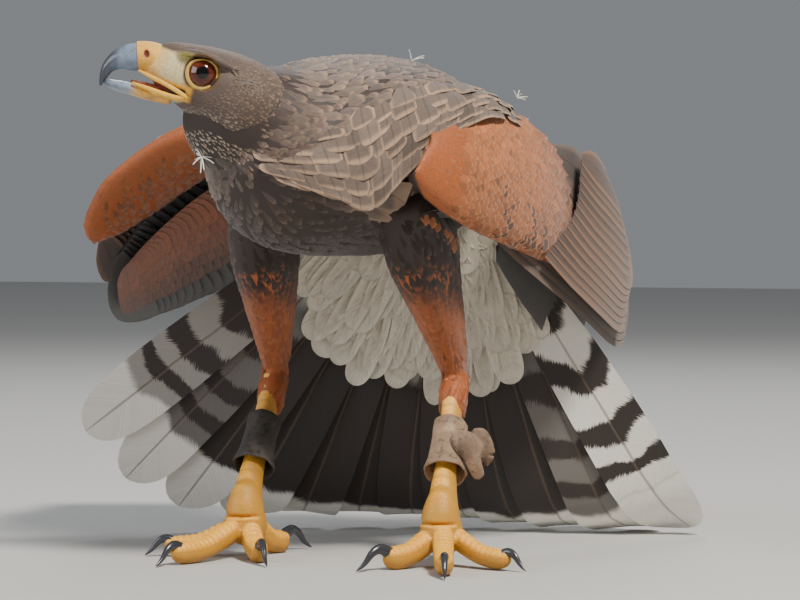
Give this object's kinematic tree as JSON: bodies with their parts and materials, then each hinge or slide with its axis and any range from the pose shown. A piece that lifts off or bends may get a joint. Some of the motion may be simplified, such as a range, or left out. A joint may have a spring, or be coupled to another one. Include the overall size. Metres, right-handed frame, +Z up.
{
  "type": "harris hawk figure",
  "caption": "Life-size standing hawk with raised head turned to its right, half-open right wing, folded left wing and a fanned tail behind yellow legs.",
  "frame": {"origin": "centre of the bounding box in plan, on the floor that the feet stand on", "axes": "the bird's body faces -Y, its left side is towards +X, +Z is up"},
  "size_m": [0.3301, 0.3388, 0.248],
  "materials": {
    "brown_plumage": "soft matt feathers, grey-brown with buff fringes",
    "rufous_plumage": "soft matt feathers, chestnut red",
    "tail_plumage": "stiff feathers, black-brown with white bases and tips",
    "bill": "smooth horn, blue-grey, darker at the tip",
    "cere": "bare skin, yellow, slightly moist",
    "mouth": "moist, dark pink",
    "eye": "wet gloss, red-brown iris with black pupil",
    "leg_skin": "scaled skin, yellow-orange",
    "claw": "polished dark grey horn",
    "dark_leather": "worn, dark brown-black",
    "pale_leather": "worn, tan"
  },
  "bodies": {
    "root": {"head": "brown_plumage", "bill_upper": "bill", "cere": "cere", "bill_lower": "bill", "eye_left": "eye", "eye_right": "eye", "tongue": "mouth", "neck": "brown_plumage", "torso": "brown_plumage", "thigh_left": "rufous_plumage", "thigh_right": "rufous_plumage", "foot_left": "leg_skin", "foot_right": "leg_skin", "anklet_left": "pale_leather", "anklet_right": "dark_leather", "toe_left_inner": "leg_skin", "toe_left_middle": "leg_skin", "toe_left_outer": "leg_skin", "toe_left_hind": "leg_skin", "toe_right_inner": "leg_skin", "toe_right_middle": "leg_skin", "toe_right_outer": "leg_skin", "toe_right_hind": "leg_skin", "claw_left_inner": "claw", "claw_left_middle": "claw", "claw_left_outer": "claw", "claw_left_hind": "claw", "claw_right_inner": "claw", "claw_right_middle": "claw", "claw_right_outer": "claw", "claw_right_hind": "claw", "tail": "tail_plumage", "wing_left": "rufous_plumage", "wing_right": "rufous_plumage"}
  },
  "joints": []
}
